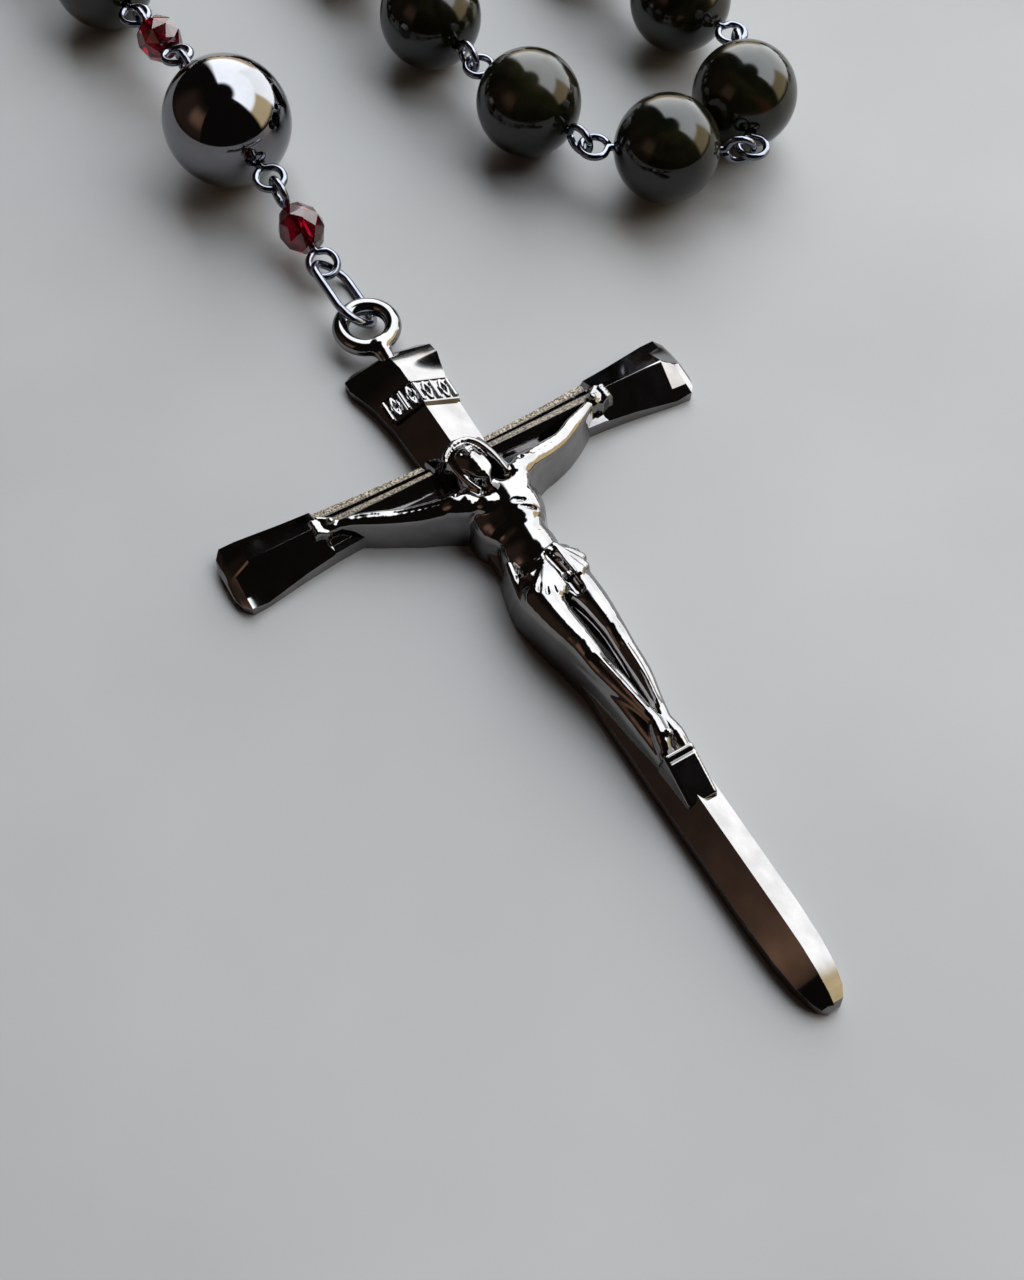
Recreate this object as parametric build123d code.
from build123d import *
import math
import os

# Five-decade rosary lying in loose curves on a flat surface, in millimetres, +Z up.
# Every bead turns on its own eye pin: a straight wire with a closed loop at each end.
# Each pin's entry loop stands upright and hooks the level exit loop of the piece before it.
# The centre medal is where the two ends of the loop and the pendant strand meet.

# The origin is on the surface, under the middle of the laid-out rosary.
ORIGIN = (15.8, 185.82)

# Where the crucifix lies: its crossing point, and the heading of its right arm in degrees.
CRUCIFIX_AT = (-4.35, 74.38)
CRUCIFIX_HEADING = 31.0

# Wire, eye loops and beads.
WIRE_R = 0.36
LOOP_R = 1.30              # loop radius to the wire's centre
LOOP_STAND = 1.75          # loop centre beyond the bead's end
LINK_PLAY = 0.14           # free play between two hooked loops
HOLE_R = WIRE_R + 0.07
JASPER_R = 5.0
HEMATITE_R = 6.0
GARNET_R = 2.2
GARNET_LENGTH = 4.2
GARNET_SIDES = 8

# Distances from a bead's end to the hooks at which its pin turns.
EXIT_REACH = LOOP_STAND + LOOP_R - 2 * WIRE_R - LINK_PLAY
ENTRY_REACH = LOOP_STAND + LOOP_R

# Crucifix: a cast cross with a ridge along each bar, and a ring at its head.
EDGE_Z = 1.5
RIDGE_Z = 3.0
BAIL_V = 17.1
BAIL_R = 2.35
BAIL_WIRE_R = 0.80
BAIL_Z = 1.9

# Oval jump ring between the crucifix and the first garnet, along the crucifix axis and leaning over.
RING_FROM_V = 17.50
RING_TO_V = 25.46
RING_HOOK_V = 25.1         # where the first garnet's pin hooks it
RING_WIDTH = 4.3           # between wire centres
RING_WIRE_R = 0.38
RING_Z = 1.9
RING_LEAN = 45.0

# Centre medal: an oval lens with a raised rim and three eyelets.
MEDAL_LENGTH = 20.0
MEDAL_WIDTH = 15.0
MEDAL_Z = 2.4
MEDAL_HEADING = 108.0      # direction of the medal's top
EYELET_Z = 3.1
EYELET_SPREAD = 38.0       # the upper eyelets lean this far from the medal's axis
TOP_EYELET_REACH = 10.1    # eyelet loop centres from the medal's centre
BOTTOM_EYELET_REACH = 11.3

RADIUS = {"jasper": JASPER_R, "hematite": HEMATITE_R, "garnet": GARNET_R}
HALF_LENGTH = {"jasper": JASPER_R, "hematite": HEMATITE_R, "garnet": GARNET_LENGTH / 2}
OUR_FATHER_SET = ["garnet", "hematite", "garnet"]

# Pendant strand, read from the crucifix up to the medal, and the points that its route passes.
PENDANT_BEADS = OUR_FATHER_SET + ["jasper"] * 3 + OUR_FATHER_SET
PENDANT_ROUTE = [(-27.1, 110.2), (-41.6, 131.0), (-57.0, 153.0), (-70.0, 175.0), (-78.0, 205.0)]
PENDANT_HEIGHTS = (1.9, 5.2, 6.9, 5.0, 5.0, 5.0, 5.0, 6.0, 6.0, 3.1)   # of its hooks, crucifix end first

# The front fold: five beads with their headings, and where the first of them starts.
FOLD_START = (10.6, 133.7)
FOLD_HEADINGS = (-45.0, -87.0, -181.0, -225.0, -235.0)

# Strand A runs from the medal's left eyelet to the fold, then on towards the right eyelet.
STRAND_A_BEADS = (["jasper"] * 10 + OUR_FATHER_SET) * 3 + ["jasper"] * 3
STRAND_A_TOP = 337.525      # how far back the strand reaches, which sets its length
STRAND_A_ROUTE = [(-97, 245), (-95, 282), (-68, STRAND_A_TOP - 7), (-24, STRAND_A_TOP), (18, STRAND_A_TOP - 12),
                  (44, 280), (60, 250), (84, 230), (112, 218), (130, 190), (118, 162), (88, 151), (60, 161),
                  (42, 182), (22, 190), (6, 174), (3, 152)]
AFTER_FOLD_BEADS = ["jasper"] * 2 + OUR_FATHER_SET
AFTER_FOLD_ROUTE = [(-20, 145), (-26, 162), (-24, 184), (-14, 204)]
STRAND_B_TOP = 259.334
STRAND_B_BEADS = ["jasper"] * 10
STRAND_B_ROUTE = [(-72, 240), (-61, 260), (-40, STRAND_B_TOP), (-19, 256), (-13, 234), (-19.2, 197)]


def on_plan(heading, reach, start=(0.0, 0.0)):
    """The point at a distance and heading (degrees) from a start point."""
    angle = math.radians(heading)
    return (start[0] + reach * math.cos(angle), start[1] + reach * math.sin(angle))


def crucifix_point(u, v):
    """A plan point from crucifix coordinates: u along the right arm, v towards the head."""
    return on_plan(CRUCIFIX_HEADING + 90, v, on_plan(CRUCIFIX_HEADING, u, CRUCIFIX_AT))


def link_length(kind):
    """Distance between the two hooks of one bead's pin."""
    return 2 * HALF_LENGTH[kind] + ENTRY_REACH + EXIT_REACH


def hook_heights(kinds, start_z):
    """Heights of a strand's hooks: large beads touch the surface, a garnet ends level with the next bead."""
    heights = [start_z]
    for kind, next_kind in zip(kinds, kinds[1:] + ["jasper"]):
        rise = (RADIUS[kind] - heights[-1]) / (HALF_LENGTH[kind] + ENTRY_REACH)
        level = RADIUS[kind] + rise * (HALF_LENGTH[kind] + EXIT_REACH)
        heights.append(RADIUS[next_kind] if kind == "garnet" else level)
    return heights


def next_hook(route, start_u, start, reach):
    """How far along the route the point lies that is a given distance from the start."""
    low = high = start_u
    while high < 1.0 and math.dist(tuple(route.position_at(high))[:2], start) < reach:
        low, high = high, high + 0.005
    for _ in range(24):
        middle = (low + high) / 2
        if math.dist(tuple(route.position_at(middle))[:2], start) < reach:
            low = middle
        else:
            high = middle
    return high


def walk(points, kinds, heights):
    """Hook points of a strand laid along a smooth route through the given points."""
    route = Spline(*[(x, y, 0) for x, y in points])
    hooks = [(points[0][0], points[0][1], heights[0])]
    u = 0.0
    for kind, end_z in zip(kinds, heights[1:]):
        x, y, z = hooks[-1]
        u = next_hook(route, u, (x, y), math.sqrt(link_length(kind) ** 2 - (end_z - z) ** 2))
        end = route.position_at(u)
        hooks.append((end.X, end.Y, end_z))
    return hooks


def eyelet_hook(medal, heading, reach):
    """Where a strand hooks on to one of the medal's eyelets."""
    return on_plan(heading, reach + LOOP_R - 2 * WIRE_R - LINK_PLAY, medal)


def fold():
    """Hook points of the five beads at the front fold."""
    hooks = [FOLD_START]
    for heading in FOLD_HEADINGS:
        hooks.append(on_plan(heading, link_length("jasper"), hooks[-1]))
    return [(x, y, JASPER_R) for x, y in hooks]


def lay_out():
    """The medal's centre and the hook points of each strand."""
    start = crucifix_point(0, RING_HOOK_V)
    pendant = walk([start] + PENDANT_ROUTE, PENDANT_BEADS, PENDANT_HEIGHTS)
    end = pendant[-1][:2]
    medal = on_plan(MEDAL_HEADING, BOTTOM_EYELET_REACH + LOOP_R - 2 * WIRE_R - LINK_PLAY, end)
    left = eyelet_hook(medal, MEDAL_HEADING + EYELET_SPREAD, TOP_EYELET_REACH)
    right = eyelet_hook(medal, MEDAL_HEADING - EYELET_SPREAD, TOP_EYELET_REACH)
    strand_a = walk([left] + STRAND_A_ROUTE + [FOLD_START], STRAND_A_BEADS, hook_heights(STRAND_A_BEADS, EYELET_Z))
    front = fold()
    after = walk([front[-1][:2]] + AFTER_FOLD_ROUTE, AFTER_FOLD_BEADS, hook_heights(AFTER_FOLD_BEADS, JASPER_R))
    strand_b = walk([right] + STRAND_B_ROUTE, STRAND_B_BEADS, hook_heights(STRAND_B_BEADS, EYELET_Z))
    return medal, pendant, strand_a, front, after, strand_b


def pin_plane(entry, exit_, kind):
    """The frame of one bead and its pin: X along the pin towards its exit, Z as near upright as it can be."""
    start, end = Vector(*entry), Vector(*exit_)
    along = (end - start).normalized()
    centre = start + along * (HALF_LENGTH[kind] + ENTRY_REACH)
    across = Vector(0, 0, 1).cross(along)
    return Plane(origin=centre, x_dir=along, z_dir=along.cross(across))


def eye_loop(x, upright):
    """A closed wire loop, upright or level, with its centre on the pin's axis."""
    loop = Torus(LOOP_R, WIRE_R)
    if upright:
        loop = Rot(90, 0, 0) * loop
    return Pos(x, 0, 0) * loop


def eye_pin(kind):
    """A straight wire through the bead, with an upright entry loop and a level exit loop."""
    reach = HALF_LENGTH[kind] + LOOP_STAND
    wire = Rot(0, 90, 0) * Cylinder(WIRE_R, 2 * (reach - LOOP_R))
    return wire + eye_loop(-reach, True) + eye_loop(reach, False)


def round_bead(radius):
    """A polished ball with a through hole along X."""
    return Sphere(radius) - Rot(0, 90, 0) * Cylinder(HOLE_R, 2 * radius + 1)


def faceted_bead():
    """A garnet cut with eight flat sides that taper to a small flat at each end."""
    middle = Sketch() + RegularPolygon(GARNET_R, GARNET_SIDES)
    end = Sketch() + RegularPolygon(GARNET_R * 0.52, GARNET_SIDES)
    belt = GARNET_LENGTH * 0.12
    body = extrude(middle, belt, both=True)
    for side in (1, -1):
        body += loft([Pos(0, 0, side * belt) * middle, Pos(0, 0, side * GARNET_LENGTH / 2) * end], ruled=True)
    return Rot(0, 90, 0) * (body - Cylinder(HOLE_R, GARNET_LENGTH + 1))


def make_bead(kind):
    """One bead about its own centre, hole along X."""
    return faceted_bead() if kind == "garnet" else round_bead(RADIUS[kind])


def bar(stations, along):
    """A cast bar with upright edges and a ridge, through (position, half width, edge, ridge) stations."""
    sections = []
    for position, half, edge, ridge in stations:
        outline = [(-half, 0), (half, 0), (half, edge), (0, ridge), (-half, edge)]
        if along == "u":
            points = [(position, side, z) for side, z in outline]
        else:
            points = [(side, position, z) for side, z in outline]
        sections.append(Face(Wire(Polyline(*points, close=True).edges())))
    return Solid.make_loft([face.outer_wire() for face in sections], ruled=True)


def cross():
    """The cross: arms that flare to hipped ends, a flared head and a long shaft with a rounded foot."""
    arm = [(5.0, 1.75, EDGE_Z, RIDGE_Z), (11.0, 2.05, EDGE_Z, RIDGE_Z), (16.0, 2.55, EDGE_Z, RIDGE_Z),
           (19.6, 3.1, EDGE_Z, RIDGE_Z), (21.4, 3.24, EDGE_Z, EDGE_Z + 0.3), (22.3, 1.5, EDGE_Z - 0.3, EDGE_Z - 0.2)]
    left = [(-u, half, edge, ridge) for u, half, edge, ridge in reversed(arm)]
    head = [(-1.7, 2.9, EDGE_Z, RIDGE_Z), (1.7, 3.05, EDGE_Z, RIDGE_Z), (6.0, 3.2, EDGE_Z, RIDGE_Z),
            (9.0, 3.6, EDGE_Z, RIDGE_Z), (10.8, 4.1, EDGE_Z, RIDGE_Z), (12.8, 4.6, EDGE_Z, EDGE_Z + 0.4),
            (14.0, 2.6, EDGE_Z - 0.2, EDGE_Z)]
    foot = [(-53.7, 0.5, 0.9, 1.1), (-53.0, 1.15, 1.2, 1.7), (-51.5, 1.7, EDGE_Z, 2.3), (-49.0, 2.05, EDGE_Z, 2.8),
            (-45.0, 2.2, EDGE_Z, RIDGE_Z), (-20.0, 2.2, EDGE_Z, RIDGE_Z), (-8.0, 2.5, EDGE_Z, RIDGE_Z)]
    return bar(left + [(0.0, 1.65, EDGE_Z, RIDGE_Z)] + arm, "u") + bar(foot + head, "v")


def tapered(points):
    """A rounded limb: balls at (u, v, z, radius) joints with straight tapers between them."""
    limb = Part()
    for (u, v, z, radius), (u2, v2, z2, radius2) in zip(points, points[1:]):
        start, end = Vector(u, v, z), Vector(u2, v2, z2)
        axis = Plane(origin=start, z_dir=end - start)
        length = (end - start).length
        limb += axis * Cone(radius, radius2, length, align=(Align.CENTER, Align.CENTER, Align.MIN))
    for u, v, z, radius in points:
        limb += Pos(u, v, z) * Sphere(radius)
    return limb


def corpus():
    """The figure in relief: head, arms, trunk, loincloth, legs and foot rest, solid down to the back."""
    figure = Pos(0, -0.6, 4.6) * Sphere(2.1)
    for side in (-1, 1):
        figure += tapered([(side * 3.0, -4.2, 4.0, 1.3), (side * 7.4, -3.0, 3.7, 1.0), (side * 13.0, -0.4, 3.0, 0.9)])
        figure += tapered([(side * 1.5, -15.5, 3.9, 1.9), (side * 1.3, -23.5, 4.2, 1.45), (side * 0.5, -32.0, 3.7, 1.1)])
    trunk = [(-4.0, 3.3, 2.9, 4.9), (-8.0, 2.7, 2.9, 5.2), (-11.0, 2.5, 2.9, 4.9), (-14.5, 3.6, 2.9, 5.2),
             (-18.5, 3.3, 2.9, 5.0)]
    figure += bar(list(reversed(trunk)), "v")
    skirt = [(-34.4, 1.2), (-30, 1.6), (-24, 2.5), (-18, 3.6), (-14, 3.9), (-10, 2.9), (-6, 3.4), (-4.6, 7.4),
             (-1.8, 12.8), (0.8, 12.8), (0.8, 0.0)]
    outline = [(half, v) for v, half in skirt] + [(-half, v) for v, half in reversed(skirt[:-1])]
    figure += extrude(make_face(Polyline(*outline, close=True)), 3.2)
    figure += Pos(0, -34.6, 2.0) * Box(2.8, 3.6, 4.0)
    return figure & Pos(0, -10, 5) * Box(60, 80, 10)


def crucifix():
    """The whole casting about its crossing point: cross, figure, blank title plaque and hanging ring."""
    plaque = Pos(0.2, 7.9, 1.7) * Box(5.9, 2.6, 3.4)
    ring = Pos(0, BAIL_V, BAIL_Z) * Torus(BAIL_R, BAIL_WIRE_R)
    neck = Pos(0, 14.2, BAIL_Z / 2 + 0.6) * Box(2.4, 1.8, BAIL_Z)
    casting = cross() + corpus() + plaque + neck + ring
    u, v = CRUCIFIX_AT
    return Pos(u, v, 0) * Rot(0, 0, CRUCIFIX_HEADING) * casting


def jump_ring():
    """The oval ring: two straight sides joined by half-round ends, hooked through the crucifix's ring."""
    half = (RING_TO_V - RING_FROM_V - RING_WIDTH) / 2
    ring = Part()
    for side in (1, -1):
        arc = Torus(RING_WIDTH / 2, RING_WIRE_R) & Pos(side * 5, 0, 0) * Box(10, 10, 10)
        ring += Pos(side * half, 0, 0) * arc
        ring += Pos(0, side * RING_WIDTH / 2, 0) * Rot(0, 90, 0) * Cylinder(RING_WIRE_R, 2 * half)
    x, y = crucifix_point(0, (RING_FROM_V + RING_TO_V) / 2)
    return Pos(x, y, RING_Z) * Rot(0, 0, CRUCIFIX_HEADING + 90) * Rot(RING_LEAN, 0, 0) * ring


def centre_medal(centre):
    """An oval domed medal with a raised rim, a plain raised cross and three eyelets."""
    length, width = MEDAL_LENGTH / 2, MEDAL_WIDTH / 2
    rim = extrude(Ellipse(length, width) - Ellipse(length - 0.9, width - 0.9), 1.1, both=True)
    dome = scale(Sphere(1), by=(length - 0.3, width - 0.3, MEDAL_Z))
    medal = rim + dome
    for side in (1, -1):
        medal += Pos(0, 0, side * 1.2) * Box(9.0, 1.5, 2.3) + Pos(1.5, 0, side * 1.2) * Box(1.5, 5.5, 2.3)
    medal = medal & Box(40, 40, 2 * MEDAL_Z)
    eyelets = [(EYELET_SPREAD, TOP_EYELET_REACH), (-EYELET_SPREAD, TOP_EYELET_REACH), (180, BOTTOM_EYELET_REACH)]
    for heading, reach in eyelets:
        x, y = on_plan(heading, reach)
        medal += Pos(x, y, EYELET_Z - MEDAL_Z) * Torus(LOOP_R, WIRE_R)
    return Pos(*centre, MEDAL_Z) * Rot(0, 0, MEDAL_HEADING) * medal


def place_run(hooks, kinds):
    """The beads and the pins of one run of links, each placed between its two hooks."""
    beads, pins = [], []
    for entry, end, kind in zip(hooks, hooks[1:], kinds):
        frame = pin_plane(entry, end, kind).location
        beads.append((kind, frame * MASTERS[kind]))
        pins.append(frame * MASTERS[kind + "_pin"])
    return beads, pins


def add_run(nodes, name, hooks, kinds):
    """Adds the nodes of one run: a single bead and its pin, a set of mixed beads, or a row of one kind."""
    beads, pins = place_run(hooks, kinds)
    if len(kinds) == 1:
        nodes[name] = [beads[0][1]]
        nodes[name + "_pin"] = pins
    elif "hematite" in kinds:
        nodes[name + "_hematite"] = [bead for kind, bead in beads if kind == "hematite"]
        nodes[name + "_garnets"] = [bead for kind, bead in beads if kind == "garnet"]
        nodes[name + "_pins"] = pins
    else:
        nodes[name + "_beads"] = [bead for kind, bead in beads]
        nodes[name + "_pins"] = pins


# How each strand divides into runs: a name and a number of beads, in walking order.
STRAND_A_RUNS = [("decade_1_first", 5), ("decade_1_last", 5), ("set_1", 3), ("decade_2", 10), ("set_2", 3),
                 ("decade_3", 10), ("set_3", 3), ("decade_4_first", 3)]
FRONT_RUNS = [(f"decade_4_bead_{number}", 1) for number in range(4, 9)]
AFTER_FOLD_RUNS = [("decade_4_last", 2), ("set_4", 3)]
STRAND_B_RUNS = [("decade_5_last", 5), ("decade_5_first", 5)]
PENDANT_NAMES = ["garnet_1", "hematite_1", "garnet_2", "jasper_1", "jasper_2", "jasper_3", "garnet_3", "hematite_2",
                 "garnet_4"]


def strand_runs():
    """Every run of the loop: its name, hook points and kinds of bead."""
    medal, pendant, strand_a, front, after, strand_b = lay_out()
    strands = [(strand_a, STRAND_A_BEADS, STRAND_A_RUNS), (front, ["jasper"] * 5, FRONT_RUNS),
               (after, AFTER_FOLD_BEADS, AFTER_FOLD_RUNS), (strand_b, STRAND_B_BEADS, STRAND_B_RUNS)]
    for hooks, kinds, runs in strands:
        first = 0
        for name, count in runs:
            yield name, hooks[first:first + count + 1], kinds[first:first + count]
            first += count


def all_nodes():
    """Every sub-part by name, as a list of solids."""
    medal, pendant = lay_out()[:2]
    nodes = {"crucifix": [crucifix()], "crucifix_jump_ring": [jump_ring()], "centre_medal": [centre_medal(medal)]}
    for name, end, entry, kind in zip(PENDANT_NAMES, pendant, pendant[1:], PENDANT_BEADS):
        frame = pin_plane(entry, end, kind).location
        nodes[f"pendant_{name}_bead"] = [frame * MASTERS[kind]]
        nodes[f"pendant_{name}_pin"] = [frame * MASTERS[kind + "_pin"]]
    for name, hooks, kinds in strand_runs():
        add_run(nodes, name, hooks, kinds)
    return nodes


# ---- build
MASTERS = {kind: make_bead(kind) for kind in RADIUS}
MASTERS.update({kind + "_pin": eye_pin(kind) for kind in RADIUS})

os.makedirs("parts", exist_ok=True)
for node, solids in all_nodes().items():
    placed = [Pos(-ORIGIN[0], -ORIGIN[1], 0) * solid for solid in solids]
    export_step(placed[0] if len(placed) == 1 else Compound(children=placed), f"parts/{node}.step")
